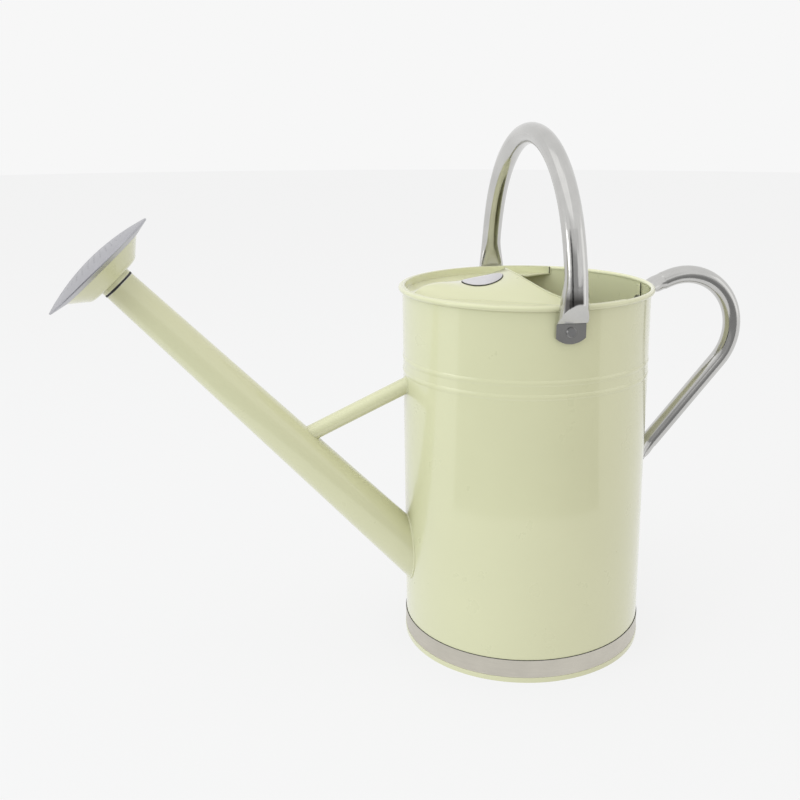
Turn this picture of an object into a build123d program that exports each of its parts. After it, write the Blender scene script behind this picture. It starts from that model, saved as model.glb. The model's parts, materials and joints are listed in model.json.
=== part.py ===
"""Nine-litre metal watering can: painted body, hood, braced spout, removable rose and tube handles.

Millimetres, +Z up. The origin is the centre of the base ring, on the surface the can stands on.
The spout points along -X, the rear handle along +X, and the bail's pivots lie along Y.
"""

import math
import os

from build123d import *

os.makedirs("parts", exist_ok=True)

# Sheet and body
sheet = 0.8
fit_gap = 0.05
body_radius = 100.0
body_top = 300.4
body_inner_radius = body_radius - sheet
rim_radius = 2.1
rim_centre = (101.0, body_top - rim_radius)
rim_wire_radius = rim_radius - sheet - 0.02
swage_heights = (232.4, 243.0)
swage_depth = 0.5
swage_half_width = 2.2
rim_tuck = 1.2
seam_width = 8.0
seam_bottom = 9.0

# Base
foot_height = 4.2
foot_radius = body_radius + fit_gap + sheet
base_floor = 6.0
base_panel_radius = 72.0
base_panel_rise = 1.6
band_bottom = foot_height + 0.1
band_top = 19.1
band_thickness = 0.45
band_split = 0.6

# Hood over the spout side of the mouth
hood_height = 294.4
hood_radius = body_inner_radius - fit_gap
hood_edge_centre = 74.0
hood_edge_radius = 88.0
hood_flange_radius = 98.8
hood_flange_top = 300.0
front_arch = ((0.0, 1.0), (0.41, 0.91), (0.74, 0.57), (1.0, 0.0))  # share of half width, share of rise
lip_arch = ((0.0, 1.0), (0.41, 0.84), (0.74, 0.48), (1.0, 0.0))
hood_stations = (
    # x, half width, rise, arch
    (-94.0, 3.0, 0.3, front_arch),
    (-54.0, 29.0, 9.2, front_arch),
    (-24.0, 46.0, 13.4, front_arch),
    (-13.0, 53.2, 17.8, lip_arch),
    (36.0, 74.0, 18.5, lip_arch),
)
badge_centre = (-37.5, -3.0)
badge_radius = 16.0
badge_thickness = 0.9

# Spout, measured along its axis from the tip
spout_tip = Vector(-311.7, 0, 311.2)
spout_foot = Vector(-80.0, 0, 61.0)
spout_axis = (spout_tip - spout_foot).normalized()
spout_tip_radius = 12.65
spout_foot_radius = 19.5
spigot_radius = spout_tip_radius - sheet - fit_gap
spigot_bore = spigot_radius - sheet
spigot_inside = 25.0
spigot_outside = 14.0

# Brace from the body to the spout
brace_radius = 6.5
brace_wall = 1.0
brace_start = Vector(-90.0, 0, 226.05)
brace_slope = 24.0
brace_length = 104.0

# Rose, measured along the spout's axis from the tip
seal_thickness = 1.6
seal_radius = 12.75
collar_bore = spigot_radius + 0.06
collar_radius = collar_bore + sheet
collar_start = seal_thickness + 0.3
collar_end = 15.5
bowl_sheet = 0.75
bowl_back = 5.0
bowl_back_radius = 19.0
bowl_knee = (24.4, 7.6)
bowl_mouth = (36.0, 17.2)
bowl_lip_width = 8.0
bowl_lip_slope = 0.2
brim_radius = 48.5
brim_edge = 20.1
brim_lap = 0.35
face_crown = 27.7
face_radius_of_curve = 167.0
perforation_radius = 0.6
perforation_pitch = 5.6
perforation_rings = 6

# Tube handles
handle_wall = 1.0
joint_lap = 0.5
joint_step = 0.05
bail_tube_radius = 8.3
bail_pivot = (1.1, 281.3)
bail_lean = 0.6
bail_crown = 137.3
bail_crown_radius = 107.6
bail_crown_turn = 67.4
bail_leg_radius = 165.0
bail_flare = (
    # height above the pivots, half width, roundness, inner half thickness as a share of the outer
    (7.0, 11.5, 0.05, 0.90),
    (16.0, 11.2, 0.09, 0.90),
    (25.0, 10.2, 0.19, 0.94),
    (35.0, 8.9, 0.38, 0.98),
    (45.0, bail_tube_radius + joint_step, 0.5, 1.0),
)
tab_half_width = 11.4
tab_thickness = 2.4
tab_drop = 8.7
tab_nose_radius = 17.0
tab_clearance = 0.6
ledge_bottom = 5.8
ledge_top = 8.6
ledge_thickness = 0.9
ledge_fall = 1.4
facet_low = (105.2, 7.0)
facet_high = (120.4, 23.5)

rear_tube_radius = 7.4
rear_arc_centre = (141.0, 257.0)
rear_arc_radius = 45.6
rear_upper_slope = 20.0
rear_lower_slope = 48.8
rear_pinch = (
    # distance before the wall end, half width, half thickness, squareness
    (0.0, 11.5, 1.3, 3.0),
    (2.2, 11.2, 2.8, 2.7),
    (5.5, 10.3, 5.0, 2.4),
    (11.0, 8.6, 6.8, 2.1),
    (18.0, rear_tube_radius + joint_step, rear_tube_radius + joint_step, 2.0),
)
rear_least_bore = 0.15
rear_end_reach = 103.4
rear_tab_face = body_radius + 0.2
rear_tab_half_width = 11.5
rear_tab_drop = 10.7
rear_tab_reach = 26.0
rear_tab_overlap = 1.6
rear_upper_rivet = 281.0
rear_lower_rivet = 128.0

# Rivets and washers
rivet_radius = 2.5
rivet_head_radius = 3.9
rivet_head_height = 1.5
rivet_tail_radius = 3.5
rivet_taper = 28
washer_radius = 6.0
washer_thickness = 1.0
bail_washer_face = 98.9
rear_washer_face = body_inner_radius - sheet - fit_gap


def point_on(axis_distance):
    """A point on the spout's axis, so far beyond the tip."""
    return spout_tip + spout_axis * axis_distance


def across(point, direction):
    """A plane at right angles to a direction, with its x along +Y."""
    return Plane(origin=point, x_dir=(0, 1, 0), z_dir=direction)


def pinched_outline(half_width, half_thickness, squareness):
    """A closed outline between an ellipse (squareness 2) and a rounded rectangle (squareness 4)."""
    points = []
    for step in range(20):
        angle = math.radians(18 * step)
        across_axis = math.copysign(abs(math.cos(angle)) ** (2 / squareness), math.cos(angle))
        along_axis = math.copysign(abs(math.sin(angle)) ** (2 / squareness), math.sin(angle))
        points.append((half_width * across_axis, half_thickness * along_axis))
    return points


def flared_outline(half_width, half_thickness, roundness, inner_share):
    """A closed outline between an ellipse (roundness 0.5) and a D, full on the side at -y (roundness near 0)."""
    widest_at = (roundness - 0.5) / (roundness + 0.5)
    widest = math.sqrt(1 - widest_at) * (1 + widest_at) ** roundness
    points = []
    for step in range(20):
        angle = math.radians(18 * step)
        rise = max(-1.0, min(1.0, math.sin(angle)))
        share = math.sqrt(1 - rise) * (1 + rise) ** roundness / widest
        depth = half_thickness * rise * (inner_share if rise < 0 else 1)
        points.append((half_width * math.copysign(share, math.cos(angle)), depth))
    return points


rose_plane = Plane(origin=spout_tip, x_dir=(0, 1, 0), z_dir=Vector(0, 1, 0).cross(spout_axis))
rose_axis = Axis(spout_tip, spout_axis)


# ---------------------------------------------------------------- body

with BuildPart() as spout_bore:
    with BuildSketch(across(spout_foot, spout_axis)):
        Circle(spout_foot_radius - sheet)
    with BuildSketch(across(spout_tip, spout_axis)):
        Circle(spout_tip_radius - sheet)
    loft()

with BuildPart() as spout_cone:
    with BuildSketch(across(spout_foot, spout_axis)):
        Circle(spout_foot_radius)
    with BuildSketch(across(spout_tip, spout_axis)):
        Circle(spout_tip_radius)
    loft()

with BuildPart() as body_shell:
    with BuildSketch(Plane.XZ):
        with BuildLine():
            wall_bottom = sheet + fit_gap
            wall_top = rim_centre[1] - rim_tuck
            outer = [(body_radius, wall_bottom)]
            inner = [(body_inner_radius, wall_bottom)]
            Line(inner[0], outer[0])
            for height in swage_heights:
                for radius, side in ((body_radius, outer), (body_inner_radius, inner)):
                    low = (radius, height - swage_half_width)
                    crest = (radius + swage_depth, height)
                    high = (radius, height + swage_half_width)
                    Line(side[-1], low)
                    ThreePointArc(low, crest, high)
                    side.append(high)
            Line(outer[-1], (body_radius, wall_top))
            Line(inner[-1], (body_inner_radius, wall_top))
            Line((body_inner_radius, wall_top), (body_radius, wall_top))
        make_face()
        with Locations(rim_centre):
            Circle(rim_radius)
            Circle(rim_radius - sheet, mode=Mode.SUBTRACT)
    revolve(axis=Axis.Z)
    with BuildSketch(Plane.XY.offset(seam_bottom)):
        with Locations((body_inner_radius - sheet, 0)):
            Rectangle(sheet + swage_depth + fit_gap, seam_width, align=(Align.MIN, Align.CENTER))
    extrude(amount=rim_centre[1] - rim_radius - 1 - seam_bottom)
    add(spout_bore.part, mode=Mode.SUBTRACT)
    with BuildSketch(Plane.YZ.offset(body_radius - 3)):
        with Locations((0, rear_upper_rivet), (0, rear_lower_rivet)):
            Circle(rivet_radius + 0.02)
    extrude(amount=4, mode=Mode.SUBTRACT)
    with BuildSketch(Plane.XZ):
        with Locations(bail_pivot):
            Circle(rivet_radius + 0.02)
    extrude(amount=body_radius + 1, both=True, mode=Mode.SUBTRACT)

with BuildPart() as rim_wire:
    with BuildSketch(Plane.XZ):
        with Locations(rim_centre):
            Circle(rim_wire_radius)
    revolve(axis=Axis.Z)

with BuildPart() as base_pan:
    with BuildSketch(Plane.XZ):
        with BuildLine():
            inner_foot = body_inner_radius - fit_gap - sheet
            panel = base_panel_radius
            lift = base_panel_rise
            Polyline(
                (0, base_floor + lift),
                (panel - 2, base_floor + lift),
                (panel, base_floor),
                (inner_foot, base_floor),
                (inner_foot, 0),
                (foot_radius, 0),
                (foot_radius, foot_height),
                (foot_radius - sheet, foot_height),
                (foot_radius - sheet, sheet),
                (inner_foot + sheet, sheet),
                (inner_foot + sheet, base_floor + sheet),
                (panel, base_floor + sheet),
                (panel - 2, base_floor + sheet + lift),
                (0, base_floor + sheet + lift),
                close=True,
            )
        make_face()
    revolve(axis=Axis.Z)
    outer_edges = base_pan.edges().filter_by(GeomType.CIRCLE).filter_by(
        lambda edge: abs(edge.radius - foot_radius) < 0.01
    )
    fillet(outer_edges, 0.35)

with BuildPart() as base_band:
    with BuildSketch(Plane.XY.offset(band_bottom)):
        Circle(body_radius + fit_gap + band_thickness)
        Circle(body_radius + fit_gap, mode=Mode.SUBTRACT)
        with Locations((body_radius, 0)):
            Rectangle(4, band_split, mode=Mode.SUBTRACT)
    extrude(amount=band_top - band_bottom)


# ---------------------------------------------------------------- hood and badge


def hump(rise_offset, skirt):
    """The pressed hump: a loft of arched sections from the front of the hood to past its free edge."""
    with BuildPart() as made:
        for x, half_width, rise, arch in hood_stations:
            section = Plane(origin=(x, 0, hood_height + rise_offset), x_dir=(0, 1, 0), z_dir=(1, 0, 0))
            with BuildSketch(section):
                with BuildLine():
                    right = [(share * half_width, height * rise) for share, height in arch]
                    left = [(-y, z) for y, z in reversed(right[1:])]
                    Spline(*left, *right)
                    Line((half_width, 0), (half_width, -skirt))
                    Line((half_width, -skirt), (-half_width, -skirt))
                    Line((-half_width, -skirt), (-half_width, 0))
                make_face()
        loft()
    return made.part


def hood_plan(outer_radius, inner_radius=0.0):
    """The hood seen from above: the body's circle less the mouth's own arc."""
    Circle(outer_radius)
    if inner_radius:
        Circle(inner_radius, mode=Mode.SUBTRACT)
    with Locations((hood_edge_centre, 0)):
        Circle(hood_edge_radius, mode=Mode.SUBTRACT)


with BuildPart() as hood:
    with BuildSketch(Plane.XY.offset(hood_height - sheet)):
        Circle(hood_radius)
    extrude(amount=sheet)
    add(hump(0, sheet))
    add(hump(-sheet, 4 * sheet), mode=Mode.SUBTRACT)
    with BuildSketch(Plane.XY.offset(hood_height - sheet)):
        hood_plan(hood_radius)
    extrude(amount=30, mode=Mode.INTERSECT)
    with BuildSketch(Plane.XY.offset(hood_height - sheet)):
        hood_plan(hood_flange_radius, hood_flange_radius - sheet)
    extrude(amount=hood_flange_top - hood_height + sheet)

with BuildPart() as hood_badge:
    with BuildSketch(Plane.XY.offset(hood_height)):
        with Locations(badge_centre):
            Circle(badge_radius)
    extrude(amount=30)
    add(hump(badge_thickness + 0.02, sheet), mode=Mode.INTERSECT)
    add(hump(0.02, 4 * sheet), mode=Mode.SUBTRACT)


# ---------------------------------------------------------------- spout and brace

with BuildPart() as spout_tube:
    add(spout_cone.part)
    add(spout_bore.part, mode=Mode.SUBTRACT)
    Cylinder(body_radius, body_top, align=(Align.CENTER, Align.CENTER, Align.MIN), mode=Mode.SUBTRACT)

with BuildPart() as spout_spigot:
    with BuildSketch(across(point_on(-spigot_inside), spout_axis)):
        Circle(spigot_radius)
        Circle(spigot_bore, mode=Mode.SUBTRACT)
    extrude(amount=spigot_inside + spigot_outside)

brace_direction = Vector(-math.cos(math.radians(brace_slope)), 0, -math.sin(math.radians(brace_slope)))
with BuildPart() as spout_brace:
    with BuildSketch(across(brace_start, brace_direction)):
        Circle(brace_radius)
        Circle(brace_radius - brace_wall, mode=Mode.SUBTRACT)
    extrude(amount=brace_length)
    Cylinder(body_radius, body_top, align=(Align.CENTER, Align.CENTER, Align.MIN), mode=Mode.SUBTRACT)
    add(spout_cone.part, mode=Mode.SUBTRACT)


# ---------------------------------------------------------------- rose

with BuildPart() as rose_seal:
    with BuildSketch(across(point_on(0.3), spout_axis)):
        Circle(seal_radius)
        Circle(spigot_radius + 0.06, mode=Mode.SUBTRACT)
    extrude(amount=seal_thickness - 0.3)

with BuildPart() as rose_collar:
    with BuildSketch(across(point_on(collar_start), spout_axis)):
        Circle(collar_radius)
        Circle(collar_bore, mode=Mode.SUBTRACT)
    extrude(amount=collar_end - collar_start)

with BuildPart() as rose_bowl:
    with BuildSketch(rose_plane):
        with BuildLine():
            hole = collar_radius + 0.02
            knee_r, knee_s = bowl_knee
            mouth_r, mouth_s = bowl_mouth
            lip_r = mouth_r + bowl_lip_width
            lip_s = mouth_s + bowl_sheet + bowl_lip_slope * bowl_lip_width
            back_outer = (bowl_back_radius, bowl_back)
            back_inner = (bowl_back_radius, bowl_back + bowl_sheet)
            knee_inner = (knee_r - 0.5, knee_s + bowl_sheet)
            Line((hole, bowl_back), back_outer)
            TangentArc(back_outer, bowl_knee, tangent=(1, 0))
            Polyline(
                bowl_knee,
                bowl_mouth,
                (mouth_r, mouth_s + bowl_sheet),
                (lip_r, lip_s),
                (lip_r, lip_s + bowl_sheet),
                (mouth_r - 1, mouth_s + 2 * bowl_sheet - bowl_lip_slope),
                knee_inner,
            )
            TangentArc(back_inner, knee_inner, tangent=(1, 0))
            Polyline(back_inner, (hole, bowl_back + bowl_sheet), (hole, bowl_back))
        make_face()
    revolve(axis=rose_axis)


def crown(radius, depth=0.0):
    """Height of the rose's domed face at a radius, less a depth below its surface."""
    return face_crown - depth - radius**2 / (2 * face_radius_of_curve)


with BuildPart() as rose_face:
    with BuildSketch(rose_plane):
        with BuildLine():
            edge_r = brim_radius - sheet
            mid_r = edge_r / 2
            edge_s = brim_edge - sheet
            inner_r = edge_r - sheet
            inner_s = edge_s + bowl_sheet
            back_r = bowl_mouth[0] + fit_gap
            back_s = bowl_mouth[1] - brim_lap
            ThreePointArc((0, crown(0)), (mid_r, crown(mid_r)), (edge_r, crown(edge_r)))
            ThreePointArc((edge_r, crown(edge_r)), (brim_radius, brim_edge), (edge_r, edge_s))
            Polyline(
                (edge_r, edge_s),
                (back_r, back_s),
                (back_r, back_s + bowl_sheet),
                (inner_r, inner_s),
                (inner_r, crown(inner_r, sheet)),
            )
            middle = (0, crown(0, sheet))
            ThreePointArc((inner_r, crown(inner_r, sheet)), (mid_r, crown(mid_r, sheet)), middle)
            Line(middle, (0, crown(0)))
        make_face()
    revolve(axis=rose_axis)
    with BuildSketch(across(point_on(face_crown + 2), spout_axis)):
        Circle(perforation_radius)
        for ring in range(1, perforation_rings + 1):
            with PolarLocations(ring * perforation_pitch, 6 * ring):
                Circle(perforation_radius)
    extrude(amount=-8, mode=Mode.SUBTRACT)


# ---------------------------------------------------------------- bail

bail_turn = math.radians(bail_lean)
bail_up = Vector(math.sin(bail_turn), 0, math.cos(bail_turn))
bail_side = Vector(math.cos(bail_turn), 0, -math.sin(bail_turn))
bail_base = Vector(bail_pivot[0], 0, bail_pivot[1])
bail_plane = Plane(origin=bail_base, x_dir=(0, 1, 0), z_dir=bail_side)

leg_turn = 90 - bail_crown_turn
leg_end = bail_crown - bail_crown_radius * (1 - math.cos(math.radians(bail_crown_turn)))
leg_start = leg_end - bail_leg_radius * math.sin(math.radians(leg_turn))
bail_half_span = bail_crown_radius * math.sin(math.radians(bail_crown_turn)) + bail_leg_radius * (
    1 - math.cos(math.radians(leg_turn))
)


def leg_centre(height):
    """Distance of the leg's centre line from the middle of the can, and its inward lean in radians."""
    lean = math.asin(max(height - leg_start, 0) / bail_leg_radius)
    return bail_half_span - bail_leg_radius * (1 - math.cos(lean)), lean


def leg_flare(side, inset):
    """The leg's lower end, widening from the round tube towards the tab."""
    with BuildPart() as made:
        for height, half_width, roundness, inner_share in bail_flare:
            centre, lean = leg_centre(height)
            half_thickness = min(half_width, bail_tube_radius + joint_step) - inset
            origin = bail_base + Vector(0, side * centre, 0) + bail_up * height
            direction = bail_up * math.cos(lean) + Vector(0, -side * math.sin(lean), 0)
            with BuildSketch(Plane(origin=origin, x_dir=bail_side, z_dir=direction)):
                outline = flared_outline(half_width - inset, half_thickness, roundness, inner_share)
                with BuildLine():
                    Spline(*[(x, side * y) for x, y in outline], periodic=True)
                make_face()
        loft()
    return made.part


def beyond_facet(side, inset):
    """Everything outside and below the pressed facet of one leg."""
    low_y, low_z = facet_low
    high_y, high_z = facet_high
    run = math.hypot(high_y - low_y, high_z - low_z)
    shift_y = -inset * (high_z - low_z) / run
    shift_z = inset * (high_y - low_y) / run
    slope = (high_z - low_z) / (high_y - low_y)
    start_y = low_y + shift_y - 5
    start_z = low_z + shift_z - 5 * slope
    end_y = high_y + shift_y + 5
    end_z = high_z + shift_z + 5 * slope
    with BuildPart() as made:
        with BuildSketch(bail_plane):
            with BuildLine():
                Polyline(
                    (side * start_y, start_z),
                    (side * end_y, end_z),
                    (side * (end_y + 5), start_z - 5),
                    (side * start_y, start_z - 5),
                    close=True,
                )
            make_face()
        extrude(amount=2 * tab_half_width, both=True)
    return made.part


def leg_tab(side):
    """The flat tab against the body, stepped outwards above to clear the rolled rim."""
    inner = body_radius + tab_clearance
    outer = inner + tab_thickness
    low_y = facet_low[0]
    step_y = bail_half_span - bail_tube_radius
    with BuildPart() as made:
        with BuildSketch(bail_plane):
            with BuildLine():
                Polyline(
                    (side * inner, -tab_drop),
                    (side * outer, -tab_drop),
                    (side * outer, ledge_bottom),
                    (side * low_y, ledge_bottom + 1),
                    (side * low_y, ledge_top),
                    (side * step_y, ledge_top),
                    (side * step_y, ledge_top - ledge_thickness),
                    (side * inner, ledge_top - ledge_thickness - ledge_fall),
                    close=True,
                )
            make_face()
        extrude(amount=tab_half_width, both=True)
        with BuildSketch(Plane(origin=bail_base, x_dir=bail_side, z_dir=(0, -1, 0))):
            with Locations((0, tab_nose_radius - tab_drop)):
                Circle(tab_nose_radius)
            Rectangle(2 * tab_half_width, 4 * tab_nose_radius, mode=Mode.INTERSECT)
            Circle(rivet_radius + fit_gap, mode=Mode.SUBTRACT)
        extrude(amount=bail_half_span + bail_tube_radius, both=True, mode=Mode.INTERSECT)
    return made.part


flare_top = bail_flare[-1][0]
with BuildPart() as bail_tube:
    tube_start = flare_top - joint_lap
    top_centre, top_lean = leg_centre(tube_start)
    with BuildLine(bail_plane):
        first_leg = JernArc(
            (top_centre, tube_start),
            (-math.sin(top_lean), math.cos(top_lean)),
            bail_leg_radius,
            leg_turn - math.degrees(top_lean),
        )
        crown_arc = JernArc(first_leg @ 1, first_leg % 1, bail_crown_radius, 2 * bail_crown_turn)
        JernArc(crown_arc @ 1, crown_arc % 1, bail_leg_radius, leg_turn - math.degrees(top_lean))
    with BuildSketch(Plane(origin=first_leg @ 0, x_dir=bail_side, z_dir=first_leg % 0)):
        Circle(bail_tube_radius)
        Circle(bail_tube_radius - handle_wall, mode=Mode.SUBTRACT)
    sweep()
    for side in (1, -1):
        outer_end = leg_flare(side, 0) - beyond_facet(side, 0)
        inner_end = leg_flare(side, handle_wall) - beyond_facet(side, handle_wall)
        add(outer_end - inner_end)
        add(leg_tab(side))


# ---------------------------------------------------------------- rear handle

upper_angle = math.radians(rear_upper_slope)
lower_angle = math.radians(rear_lower_slope)
upper_direction = Vector(-math.cos(upper_angle), 0, -math.sin(upper_angle))
lower_direction = Vector(-math.cos(lower_angle), 0, -math.sin(lower_angle))
arc_x, arc_z = rear_arc_centre
upper_tangent = Vector(
    arc_x - rear_arc_radius * math.sin(upper_angle), 0, arc_z + rear_arc_radius * math.cos(upper_angle)
)
lower_tangent = Vector(
    arc_x + rear_arc_radius * math.sin(lower_angle), 0, arc_z - rear_arc_radius * math.cos(lower_angle)
)


def rear_end(tangent, direction, inset):
    """One pinched end of the rear handle, from the round tube down to a flat strip."""
    reach = (tangent.X - rear_end_reach) / -direction.X
    with BuildPart() as made:
        for back, half_width, half_thickness, squareness in rear_pinch:
            origin = tangent + direction * (reach - back)
            with BuildSketch(Plane(origin=origin, x_dir=(0, 1, 0), z_dir=direction)):
                thickness = max(half_thickness - inset, rear_least_bore)
                outline = pinched_outline(half_width - inset, thickness, squareness)
                with BuildLine():
                    Spline(*outline, periodic=True)
                make_face()
        loft()
    return made.part


def rear_start(tangent, direction):
    """Where the plain round tube gives way to the pinched end."""
    reach = (tangent.X - rear_end_reach) / -direction.X
    return tangent + direction * (reach - rear_pinch[-1][0] + joint_lap)


def rear_tab(tangent, direction, rivet_height):
    """The flat strip bent down against the body, with a rounded nose and a rivet hole."""
    slope = direction.Z / direction.X
    normal = Vector(direction.Z, 0, -direction.X)
    strip = tangent + direction * ((tangent.X - rear_end_reach - rear_tab_overlap) / -direction.X)
    over = strip + normal * (tab_thickness / 2)
    under = strip - normal * (tab_thickness / 2)
    face = rear_tab_face
    drop_to = rivet_height - rear_tab_drop
    nose_centre = (0, drop_to + tab_nose_radius)
    with BuildPart() as made:
        with BuildSketch(Plane.XZ):
            with BuildLine():
                Polyline(
                    (over.X, over.Z),
                    (face, over.Z - slope * (over.X - face)),
                    (face, drop_to),
                    (face + tab_thickness, drop_to),
                    (face + tab_thickness, under.Z - slope * (under.X - face - tab_thickness)),
                    (under.X, under.Z),
                    close=True,
                )
            make_face()
        extrude(amount=rear_tab_half_width, both=True)
        with BuildSketch(Plane.YZ):
            with Locations(nose_centre):
                Circle(tab_nose_radius)
                Rectangle(2 * rear_tab_half_width, 4 * tab_nose_radius, mode=Mode.INTERSECT)
                Rectangle(2 * rear_tab_half_width, rear_tab_reach, align=(Align.CENTER, Align.MIN))
            with Locations((0, rivet_height)):
                Circle(rivet_radius + 0.02, mode=Mode.SUBTRACT)
        extrude(amount=rear_arc_centre[0], mode=Mode.INTERSECT)
    return made.part


rear_ends = (
    (upper_tangent, upper_direction, rear_upper_rivet),
    (lower_tangent, lower_direction, rear_lower_rivet),
)
with BuildPart() as rear_handle:
    with BuildLine() as rear_path:
        upper_line = Line(rear_start(upper_tangent, upper_direction), upper_tangent)
        farthest = Vector(arc_x + rear_arc_radius, 0, arc_z)
        ThreePointArc(upper_tangent, farthest, lower_tangent)
        Line(lower_tangent, rear_start(lower_tangent, lower_direction))
    with BuildSketch(Plane(origin=upper_line @ 0, x_dir=(0, 1, 0), z_dir=upper_line % 0)):
        Circle(rear_tube_radius)
        Circle(rear_tube_radius - handle_wall, mode=Mode.SUBTRACT)
    sweep()
    for tangent, direction, rivet_height in rear_ends:
        add(rear_end(tangent, direction, 0) - rear_end(tangent, direction, handle_wall))
        add(rear_tab(tangent, direction, rivet_height))


# ---------------------------------------------------------------- rivets and washers


def rivet(base, outward, head_at, tail_at):
    """One domed rivet: head outside, shank through the wall, clenched tail inside."""
    with BuildPart() as made:
        with BuildSketch(Plane(origin=base + outward * tail_at, z_dir=outward)):
            Circle(rivet_radius)
        extrude(amount=head_at - tail_at + 0.2)
        with BuildSketch(Plane(origin=base + outward * head_at, z_dir=outward)):
            Circle(rivet_head_radius)
        extrude(amount=rivet_head_height, taper=rivet_taper)
        with BuildSketch(Plane(origin=base + outward * tail_at, z_dir=-outward)):
            Circle(rivet_tail_radius)
        extrude(amount=rivet_head_height, taper=rivet_taper)
    return made.part


def washer(base, outward, outer_face):
    """One flat washer inside the wall, under a rivet's clenched tail."""
    with BuildPart() as made:
        with BuildSketch(Plane(origin=base + outward * outer_face, z_dir=-outward)):
            Circle(washer_radius)
            Circle(rivet_radius + 0.02, mode=Mode.SUBTRACT)
        extrude(amount=washer_thickness)
    return made.part


with BuildPart() as bail_rivets:
    for side in (1, -1):
        outward = Vector(0, side, 0)
        head_at = body_radius + tab_clearance + tab_thickness + 0.3
        add(rivet(bail_base, outward, head_at, bail_washer_face - washer_thickness))

with BuildPart() as bail_washers:
    for side in (1, -1):
        add(washer(bail_base, Vector(0, side, 0), bail_washer_face))

rear_bases = [Vector(0, 0, rear_upper_rivet), Vector(0, 0, rear_lower_rivet)]
with BuildPart() as rear_handle_rivets:
    for base in rear_bases:
        add(rivet(base, Vector(1, 0, 0), rear_tab_face + tab_thickness, rear_washer_face - washer_thickness))

with BuildPart() as rear_handle_washers:
    for base in rear_bases:
        add(washer(base, Vector(1, 0, 0), rear_washer_face))


# ---------------------------------------------------------------- write the pieces

pieces = {
    "body_shell": body_shell,
    "rim_wire": rim_wire,
    "base_pan": base_pan,
    "base_band": base_band,
    "hood": hood,
    "hood_badge": hood_badge,
    "spout_tube": spout_tube,
    "spout_spigot": spout_spigot,
    "spout_brace": spout_brace,
    "rose_seal": rose_seal,
    "rose_collar": rose_collar,
    "rose_bowl": rose_bowl,
    "rose_face": rose_face,
    "bail_tube": bail_tube,
    "bail_rivets": bail_rivets,
    "bail_washers": bail_washers,
    "rear_handle": rear_handle,
    "rear_handle_rivets": rear_handle_rivets,
    "rear_handle_washers": rear_handle_washers,
}
for name, piece in pieces.items():
    piece.part.label = name
    export_step(piece.part, f"parts/{name}.step")
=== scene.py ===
"""Looks of the watering can: paints, steels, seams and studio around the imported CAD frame."""

import json
import math

import bpy
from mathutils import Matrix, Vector
from mathutils.bvhtree import BVHTree

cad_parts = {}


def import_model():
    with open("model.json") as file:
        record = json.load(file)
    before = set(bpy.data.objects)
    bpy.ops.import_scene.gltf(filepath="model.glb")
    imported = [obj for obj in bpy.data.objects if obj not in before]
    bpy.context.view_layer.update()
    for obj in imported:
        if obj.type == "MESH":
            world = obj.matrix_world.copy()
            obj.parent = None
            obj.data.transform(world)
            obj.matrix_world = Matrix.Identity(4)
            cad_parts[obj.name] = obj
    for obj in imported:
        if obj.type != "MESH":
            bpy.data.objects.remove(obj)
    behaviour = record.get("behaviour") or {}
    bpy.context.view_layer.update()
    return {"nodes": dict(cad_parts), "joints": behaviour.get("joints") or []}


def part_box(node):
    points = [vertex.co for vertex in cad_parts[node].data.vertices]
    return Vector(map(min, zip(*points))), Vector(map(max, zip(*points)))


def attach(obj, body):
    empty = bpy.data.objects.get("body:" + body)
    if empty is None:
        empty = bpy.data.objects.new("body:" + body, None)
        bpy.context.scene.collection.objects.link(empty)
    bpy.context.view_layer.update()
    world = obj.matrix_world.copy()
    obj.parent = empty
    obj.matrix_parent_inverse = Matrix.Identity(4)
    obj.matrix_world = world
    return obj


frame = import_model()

nodes = frame["nodes"]
joints = {joint["name"]: joint for joint in frame["joints"]}

# Lengths are in metres and colours are linear.
CREAM = (0.586, 0.582, 0.368)
# Paler cream painted on the inner walls as painted light falling inside the can.
PAINTED_LIGHT_CREAM = (0.92, 0.92, 0.60)
STEEL = (0.60, 0.595, 0.58)
BAND_STEEL = (0.62, 0.59, 0.52)
ROSE_STEEL = (0.5, 0.5, 0.53)
BADGE_STEEL = (0.80, 0.785, 0.815)
RIVET_STEEL = (0.42, 0.42, 0.42)
# Dark grey of the painted reflection on the bail's legs.
PAINTED_REFLECTION_GREY = (0.05, 0.045, 0.04)
RUBBER_LOW = (0.012, 0.012, 0.012)
RUBBER_HIGH = (0.03, 0.03, 0.028)

# Lowest and highest roughness of each finish of steel.
POLISHED = (0.11, 0.19)
WIRE_DRAWN = (0.16, 0.26)
WORN = (0.28, 0.4)
SATIN = (0.3, 0.4)
STRIP = (0.3, 0.42)
DULL = (0.36, 0.48)


# ---------------------------------------------------------------- shader helpers


def put(tree, kind, inputs=None, **settings):
    """Adds a node. An input is a constant, or a socket to be linked from."""
    made = tree.nodes.new(kind)
    for name, value in settings.items():
        setattr(made, name, value)
    for key, value in (inputs or {}).items():
        if isinstance(value, bpy.types.NodeSocket):
            tree.links.new(value, made.inputs[key])
        else:
            made.inputs[key].default_value = value
    return made


def new_material(name, metallic, **sockets):
    """An empty material and its shader, with the values that are the same all over set on the shader."""
    made = bpy.data.materials.new(name)
    made.use_nodes = True
    shader = made.node_tree.nodes["Principled BSDF"]
    shader.inputs["Metallic"].default_value = metallic
    for key, value in sockets.items():
        shader.inputs[key.replace("_", " ")].default_value = value
    return made, made.node_tree, shader


def place(tree):
    """Position on the object in metres."""
    return put(tree, "ShaderNodeTexCoord").outputs["Object"]


def noise(tree, vector, scale, detail=2.0, roughness=0.5):
    """Grey noise between about 0.3 and 0.7."""
    inputs = {"Vector": vector, "Scale": scale, "Detail": detail, "Roughness": roughness}
    return put(tree, "ShaderNodeTexNoise", inputs).outputs["Fac"]


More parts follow.
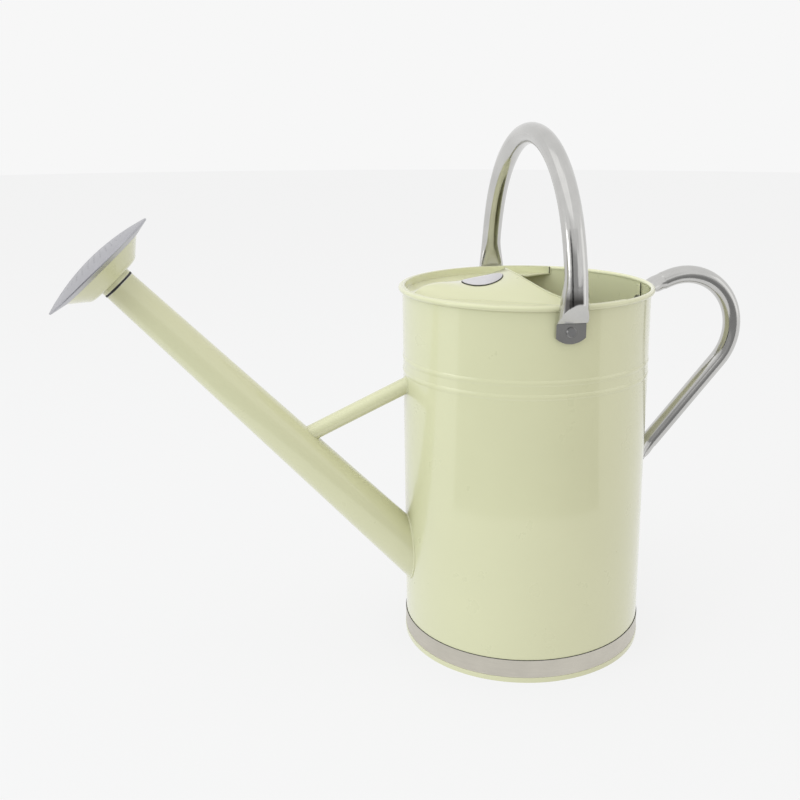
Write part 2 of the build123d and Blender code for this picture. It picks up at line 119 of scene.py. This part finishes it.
def to_range(tree, value, low, high, start=0.3, stop=0.7):
    """Maps a value from start..stop to low..high."""
    inputs = {"Value": value, "From Min": start, "From Max": stop, "To Min": low, "To Max": high}
    return put(tree, "ShaderNodeMapRange", inputs).outputs["Result"]


def arithmetic(tree, operation, first, second=0.0):
    """The result of a sum on one or two values."""
    return put(tree, "ShaderNodeMath", {0: first, 1: second}, operation=operation).outputs[0]


def blend_colour(tree, factor, first, second):
    """Mixes two linear colours."""
    made = put(tree, "ShaderNodeMix", data_type="RGBA")
    tree.links.new(factor, made.inputs["Factor"])
    for socket, value in zip((made.inputs[6], made.inputs[7]), (first, second)):
        if isinstance(value, bpy.types.NodeSocket):
            tree.links.new(value, socket)
        else:
            socket.default_value = (*value, 1)
    return made.outputs[2]


def bump(tree, height, depth, normal=None):
    """A bump so many metres deep."""
    inputs = {"Height": height, "Distance": depth, "Strength": 1.0}
    if normal:
        inputs["Normal"] = normal
    return put(tree, "ShaderNodeBump", inputs).outputs["Normal"]


def scaled(colour, factor):
    """A lighter or darker colour."""
    return tuple(min(channel * factor, 1.0) for channel in colour)


# ---------------------------------------------------------------- materials


def facing_inwards(tree, spot):
    """1 where a surface faces the upright axis squarely, falling to 0 where it faces up, down or outwards."""
    flat = put(tree, "ShaderNodeVectorMath", {0: spot, 1: (1, 1, 0)}, operation="MULTIPLY").outputs[0]
    spoke = put(tree, "ShaderNodeVectorMath", {0: flat}, operation="NORMALIZE").outputs[0]
    normal = put(tree, "ShaderNodeTexCoord").outputs["Normal"]
    outwards = put(tree, "ShaderNodeVectorMath", {0: spoke, 1: normal}, operation="DOT_PRODUCT").outputs["Value"]
    return to_range(tree, outwards, 1, 0, -0.5, -0.1)


def powder_coat(name, painted_inner_light=False):
    """Gloss powder coat: orange peel, very faint mottling, a rare nib of dust in the coat.

    painted_inner_light: the walls that face the upright axis get painted light, a lighter coat standing in for light
    falling inside.
    """
    made, tree, shader = new_material(name, 0.0, IOR=1.5, Coat_Weight=1.0, Coat_Roughness=0.08)
    spot = place(tree)
    mottle = noise(tree, spot, 14, 3)
    body = blend_colour(tree, to_range(tree, mottle, 0, 1), scaled(CREAM, 0.985), scaled(CREAM, 1.01))
    nibs = put(tree, "ShaderNodeTexVoronoi", {"Vector": spot, "Scale": 70.0}).outputs["Distance"]
    nib = to_range(tree, nibs, 1, 0, 0.0, 0.02)
    tint = blend_colour(tree, arithmetic(tree, "MULTIPLY", nib, 0.07), body, scaled(CREAM, 0.7))
    if painted_inner_light:
        # Painted light: the inner walls are lightened towards a paler cream.
        share = arithmetic(tree, "MULTIPLY", facing_inwards(tree, spot), 0.45)
        tint = blend_colour(tree, share, tint, PAINTED_LIGHT_CREAM)
    tree.links.new(tint, shader.inputs["Base Color"])
    haze = noise(tree, spot, 55, 4)
    tree.links.new(to_range(tree, haze, 0.27, 0.35), shader.inputs["Roughness"])
    peel = noise(tree, spot, 620, 2, 0.6)
    waves = noise(tree, spot, 60, 2)
    coarse = bump(tree, waves, 0.00003)
    tree.links.new(bump(tree, peel, 0.000012, coarse), shader.inputs["Normal"])
    return made


def grain_along_ring(tree, centre, normal_axis):
    """A vector that varies slowly round a ring about centre and fast across it, for lines that follow a bent tube."""
    around, across = [axis for axis in "XYZ" if axis != normal_axis]
    shifted = put(tree, "ShaderNodeVectorMath", {0: place(tree), 1: centre}, operation="SUBTRACT")
    parts = put(tree, "ShaderNodeSeparateXYZ", {0: shifted.outputs[0]}).outputs
    turn = arithmetic(tree, "ARCTAN2", parts[around], parts[across])
    squares = [arithmetic(tree, "MULTIPLY", parts[axis], parts[axis]) for axis in (around, across)]
    radius = arithmetic(tree, "SQRT", arithmetic(tree, "ADD", *squares))
    inputs = {
        "X": arithmetic(tree, "MULTIPLY", turn, 0.004),
        "Y": radius,
        "Z": parts[normal_axis],
    }
    return put(tree, "ShaderNodeCombineXYZ", inputs).outputs[0]


def painted_leg_reflection(tree):
    """Painted dark reflection: 1 on the outer face of each of the bail's legs just above the slanting press cut,
    fading out upwards.
    """
    parts = put(tree, "ShaderNodeSeparateXYZ", {0: place(tree)}).outputs
    outwards = arithmetic(tree, "ABSOLUTE", parts["Y"])
    cut_slope = 0.92
    cut_offset = -0.1603
    cut_face = arithmetic(tree, "ADD", arithmetic(tree, "MULTIPLY", parts["Z"], cut_slope), cut_offset)
    above_cut = to_range(tree, arithmetic(tree, "SUBTRACT", cut_face, outwards), 0, 1, 0.0001, 0.0006)
    outer = to_range(tree, outwards, 0, 1, 0.1115, 0.1135)
    front = to_range(tree, parts["X"], 1, 0, 0.0030, 0.0045)
    low = to_range(tree, parts["Z"], 1, 0, 0.3065, 0.3145)
    faces = arithmetic(tree, "MULTIPLY", outer, front)
    return arithmetic(tree, "MULTIPLY", faces, arithmetic(tree, "MULTIPLY", above_cut, low))


def steel(name, grain, colour=STEEL, rough=WIRE_DRAWN, painted_reflection=None):
    """Stainless steel with fine polishing lines that follow the grain vector, and handling haze.

    painted_reflection: a function for the share of a painted dark reflection at each place.
    """
    made, tree, shader = new_material(name, 1.0)
    lines = noise(tree, grain(tree), 1500, 3, 0.7)
    haze = noise(tree, place(tree), 40, 4)
    tone = blend_colour(tree, to_range(tree, haze, 0, 1), scaled(colour, 0.93), scaled(colour, 1.05))
    streak = blend_colour(tree, to_range(tree, lines, 0, 0.35), tone, scaled(colour, 0.8))
    if painted_reflection:
        # The painted dark reflection darkens the steel's colour.
        streak = blend_colour(tree, arithmetic(tree, "MULTIPLY", painted_reflection(tree), 0.85), streak, PAINTED_REFLECTION_GREY)
    tree.links.new(streak, shader.inputs["Base Color"])
    halves = [arithmetic(tree, "MULTIPLY", part, 0.5) for part in (lines, haze)]
    mixed = arithmetic(tree, "ADD", *halves)
    tree.links.new(to_range(tree, mixed, *rough), shader.inputs["Roughness"])
    tree.links.new(bump(tree, lines, 0.000006), shader.inputs["Normal"])
    return made


def rubber(name):
    """Matt black rubber with a fine moulded tooth and a little bloom, also used for the dark beads of painted shadow.
    """
    made, tree, shader = new_material(name, 0.0, IOR=1.5)
    spot = place(tree)
    bloom = noise(tree, spot, 260, 3)
    dark = blend_colour(tree, to_range(tree, bloom, 0, 1), RUBBER_LOW, RUBBER_HIGH)
    tree.links.new(dark, shader.inputs["Base Color"])
    tree.links.new(to_range(tree, bloom, 0.55, 0.75), shader.inputs["Roughness"])
    tree.links.new(bump(tree, noise(tree, spot, 1800, 2), 0.00002), shader.inputs["Normal"])
    return made


def ring_grain(centre, normal_axis):
    """Lines that run round a ring."""
    return lambda tree: grain_along_ring(tree, centre, normal_axis)


def plain_grain(stretch):
    """Straight lines: the position, scaled down along the lines."""
    return lambda tree: put(
        tree, "ShaderNodeVectorMath", {0: place(tree), 1: stretch}, operation="MULTIPLY"
    ).outputs[0]


def paint_node(node, material):
    """Gives a CAD node its material."""
    target = nodes[node]
    for slot in target.material_slots:
        slot.material = material
    return target


bail_ring_radius = 0.116
bail_pivot = Vector(joints["bail_swing"]["pos_m"])
bail_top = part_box("bail_tube")[1].z
bail_centre = (bail_pivot.x, 0, bail_top - bail_ring_radius)
rear_centre = (0.141, 0, 0.257)
can_axis = (0, 0, 0)
even = (1, 1, 1)
lengthwise = (0.02, 1, 1)

# The shell and hood have painted light on their inner walls.
for node in ("body_shell", "hood"):
    paint_node(node, powder_coat(f"cream_{node}", painted_inner_light=True))
for node in ("base_pan", "spout_tube", "spout_brace", "rose_collar", "rose_bowl"):
    paint_node(node, powder_coat(f"cream_{node}"))
# The bail's legs get a painted dark reflection above their tabs.
paint_node("bail_tube", steel("bail_steel", ring_grain(bail_centre, "X"), rough=POLISHED, painted_reflection=painted_leg_reflection))
paint_node("rear_handle", steel("rear_steel", ring_grain(rear_centre, "Y"), rough=POLISHED))
paint_node("base_band", steel("band_steel", ring_grain(can_axis, "Z"), BAND_STEEL, STRIP))
paint_node("rose_face", steel("rose_steel", ring_grain(can_axis, "Z"), ROSE_STEEL, DULL))
paint_node("hood_badge", steel("badge_steel", plain_grain(lengthwise), BADGE_STEEL, SATIN))
paint_node("spout_spigot", steel("spigot_steel", plain_grain(even)))
paint_node("rim_wire", steel("wire_steel", ring_grain(can_axis, "Z")))
for node in ("bail_rivets", "bail_washers", "rear_handle_rivets", "rear_handle_washers"):
    paint_node(node, steel(f"{node}_steel", plain_grain(even), RIVET_STEEL, WORN))
paint_node("rose_seal", rubber("seal_rubber"))


# ---------------------------------------------------------------- seams and edges


def surface_of(node):
    """A tree for finding points on a CAD node."""
    mesh = nodes[node].data
    return BVHTree.FromPolygons([v.co for v in mesh.vertices], [tuple(face.vertices) for face in mesh.polygons])


def bead(name, points, radius, material, closed=False):
    """A round bead of the can's body, laid along points."""
    curve = bpy.data.curves.new(name, "CURVE")
    curve.dimensions = "3D"
    curve.bevel_depth = radius
    curve.bevel_resolution = 3
    line = curve.splines.new("POLY")
    line.points.add(len(points) - 1)
    for target, point in zip(line.points, points):
        target.co = (*point, 1)
    line.use_cyclic_u = closed
    made = bpy.data.objects.new(name, curve)
    bpy.context.scene.collection.objects.link(made)
    curve.materials.append(material)
    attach(made, "can")


def on_top(tree, x, y, lift):
    """The highest point of a surface at x, y, raised a little; None beside it."""
    above_all = 0.5
    found = tree.ray_cast(Vector((x, y, above_all)), Vector((0, 0, -1)))[0]
    return found and found + Vector((0, 0, lift))


def hood_hem():
    """The hood's free edge, folded over into a thin hem."""
    edge_centre = 0.074
    edge_radius = 0.0884
    spacing = 0.0005
    tree = surface_of("hood")
    found = []
    for step in range(-166, 167):
        y = step * spacing
        found.append(on_top(tree, edge_centre - math.sqrt(edge_radius**2 - y**2), y, 0.0001))
    points = [point for point in found if point]
    bead("hood_hem", points, 0.00055, powder_coat("cream_hem"))


def badge_edge():
    """A dark bead of painted shadow round the edge of the blank badge on the hood."""
    low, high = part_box("hood_badge")
    centre = (low + high) / 2
    radius = (high.x - low.x) / 2 + 0.0002
    tree = surface_of("hood")
    points = []
    for step in range(96):
        turn = math.tau * step / 96
        x = centre.x + radius * math.cos(turn)
        y = centre.y + radius * math.sin(turn)
        points.append(on_top(tree, x, y, 0.0003))
    # Dark bead of painted shadow round the badge.
    bead("badge_edge", points, 0.0004, rubber("badge_shadow_line"), closed=True)


def ring(name, radius, height, thickness, material):
    """A level bead all round the can."""
    turns = [math.tau * step / 160 for step in range(160)]
    points = [(radius * math.cos(turn), radius * math.sin(turn), height) for turn in turns]
    bead(name, points, thickness, material, closed=True)


def where_cylinder_meets(start, direction, radius):
    """The point along a line where it enters the upright cylinder about the origin."""
    a = direction.x**2 + direction.y**2
    b = 2 * (start.x * direction.x + start.y * direction.y)
    c = start.x**2 + start.y**2 - radius**2
    return start + direction * ((-b - math.sqrt(b * b - 4 * a * c)) / (2 * a))


def seam_round(tip, foot, tip_radius, foot_radius, radius):
    """Points round the foot of a cone, where it meets the upright cylinder."""
    axis = (foot - tip).normalized()
    side = Vector((0, 1, 0))
    up = axis.cross(side)
    points = []
    for step in range(72):
        turn = math.tau * step / 72
        spoke = side * math.cos(turn) + up * math.sin(turn)
        start = tip + spoke * tip_radius
        end = foot + spoke * foot_radius
        points.append(where_cylinder_meets(start, (end - start).normalized(), radius))
    return points


def spout_seam():
    """The soldered seam where the spout's cone meets the body."""
    foot = Vector((-0.080, 0, 0.061))
    tip_radius = 0.01265
    foot_radius = 0.0195
    points = seam_round(spout_tip, foot, tip_radius, foot_radius, body_radius)
    bead("spout_seam", points, 0.0011, powder_coat("cream_spout_seam"), closed=True)


def brace_seam():
    """The soldered seam where the brace's tube meets the body."""
    slope = math.radians(24)
    direction = Vector((math.cos(slope), 0, math.sin(slope)))
    end = Vector((-0.090, 0, 0.22605))
    radius = 0.0065
    points = seam_round(end - direction * 0.08, end, radius, radius, body_radius)
    bead("brace_seam", points, 0.0007, powder_coat("cream_brace_seam"), closed=True)


def hood_seam():
    """The seam between the hood's flange and the rim, from one end of the flange round to the other."""
    start = 61
    sweep = 238
    radius = 0.0991
    height = 0.2998
    turns = [math.radians(start + sweep * step / 160) for step in range(161)]
    points = [(radius * math.cos(turn), radius * math.sin(turn), height) for turn in turns]
    bead("hood_seam", points, 0.0007, powder_coat("cream_hood_seam"))


def upright_gap(name, x, y, low, high):
    """A dark bead of painted shadow beside an upright edge of sheet metal."""
    bead(name, [(x, y, low), (x, y, high)], 0.00035, rubber(f"{name}_shade"))


body_radius = 0.1
spout_tip = Vector(joints["rose_twist"]["pos_m"])
spout_seam()
brace_seam()
hood_hem()
badge_edge()
hood_seam()
# Painted shadow lines at the wall's seam and at the end of the hood's flange.
upright_gap("wall_seam_gap", 0.0983, -0.0042, 0.020, 0.2975)
upright_gap("flange_end_gap", 0.0493, 0.0845, 0.2942, 0.3002)
# A dark ring of painted shadow under the top edge of the base band.
ring("band_shadow_line", 0.10018, 0.01925, 0.00028, rubber("band_shadow_line_dark"))


# ---------------------------------------------------------------- studio and camera

# The camera's side of the can, in degrees about Z from +X.
FRONT = -103.97


def stage_mesh(name, corners, faces, material, **visibility):
    """A card or floor that isn't part of the object."""
    mesh = bpy.data.meshes.new(name)
    mesh.from_pydata(corners, [], faces)
    card = bpy.data.objects.new(name, mesh)
    bpy.context.scene.collection.objects.link(card)
    mesh.materials.append(material)
    for key, value in visibility.items():
        setattr(card, key, value)


def glowing(name, grey, diffuse=0.0):
    """An even glow, over a matt surface of the grey called diffuse."""
    made, _, shader = new_material(name, 0.0)
    shader.inputs["Base Color"].default_value = (diffuse, diffuse, diffuse, 1)
    shader.inputs["Roughness"].default_value = 1.0
    shader.inputs["Specular IOR Level"].default_value = 0.0
    shader.inputs["Emission Color"].default_value = (grey, grey, grey, 1)
    shader.inputs["Emission Strength"].default_value = 1.0
    return made


def floor():
    """Pale paper under the can."""
    reach = 8.0
    sides = 48
    turns = [math.tau * step / sides for step in range(sides)]
    corners = [(reach * math.cos(turn), reach * math.sin(turn), 0) for turn in turns]
    stage_mesh("floor", corners, [tuple(range(sides))], glowing("floor_paper", 0.80, 0.10))


def flag(name, turns, profile, grey):
    """A card seen only in reflections, swept round the can.

    turns: first and last degrees from the front, positive towards the rear handle.
    profile: distances and heights.
    """
    hidden = {"visible_camera": False, "visible_diffuse": False, "visible_shadow": False}
    first, last = turns
    steps = 16
    corners = []
    for step in range(steps + 1):
        turn = math.radians(FRONT + first + (last - first) * step / steps)
        for distance, height in profile:
            corners.append((distance * math.cos(turn), distance * math.sin(turn), height))
    faces = [(2 * step, 2 * step + 1, 2 * step + 3, 2 * step + 2) for step in range(steps)]
    stage_mesh(name, corners, faces, glowing(name, grey), **hidden)


def softbox(name, centre, width, watts, colour=(1, 1, 1)):
    """A square lamp aimed at the middle of the can, which polished faces don't reflect."""
    light = bpy.data.lights.new(name, "AREA")
    light.shape = "RECTANGLE"
    light.size = width
    light.size_y = width
    light.energy = watts
    light.color = colour
    lamp = bpy.data.objects.new(name, light)
    bpy.context.scene.collection.objects.link(lamp)
    lamp.location = centre
    lamp.visible_glossy = False
    direction = Vector((0, 0, 0.2)) - Vector(centre)
    lamp.rotation_euler = direction.to_track_quat("-Z", "Y").to_euler()


def world():
    """A bright plain background."""
    made = bpy.data.worlds.new("studio")
    made.use_nodes = True
    back = made.node_tree.nodes["Background"]
    back.inputs["Color"].default_value = (0.93, 0.93, 0.93, 1)
    back.inputs["Strength"].default_value = 1.0
    bpy.context.scene.world = made


def camera():
    """In front, a little to the spout's side and above the rim."""
    pan = math.radians(-13.97)
    tilt = math.radians(-14.57)
    view = bpy.data.cameras.new("camera")
    view.sensor_width = 36
    view.lens = 44.19
    view.shift_x = -0.0718
    view.shift_y = -0.0323
    made = bpy.data.objects.new("camera", view)
    bpy.context.scene.collection.objects.link(made)
    made.location = (-0.24366, -0.74991, 0.429)
    made.rotation_euler = (math.radians(90) + tilt, 0, pan)
    bpy.context.scene.camera = made


floor()
world()
camera()
softbox("key", (-1.9, -0.75, 0.9), 1.4, 17, (0.80, 0.92, 1.0))
softbox("overhead", (-0.3, -0.2, 2.2), 1.6, 12)
flag("front_floor", (-64, 64), ((0.42, 0.002), (7.5, 0.002)), 0.28)
flag("front_low", (-60, 60), ((3.0, 0.0), (3.0, 0.72)), 0.42)
flag("front_middle", (-50, 11), ((3.0, 0.72), (3.0, 1.7)), 0.42)
flag("front_high", (-40, 40), ((3.0, 1.7), (3.0, 2.65)), 0.78)
flag("front_dark", (-46, -33), ((2.9, 0.03), (2.9, 1.8)), 0.04)
flag("left_card", (-83, -66), ((2.6, 0.5), (2.6, 1.1)), 2.8)
flag("right_card", (70, 95), ((2.6, 0.0), (2.6, 1.6)), 1.25)
flag("top_card", (-120, 10), ((0.4, 2.6), (2.4, 2.6)), 1.2)
bpy.context.scene.view_settings.view_transform = "Standard"
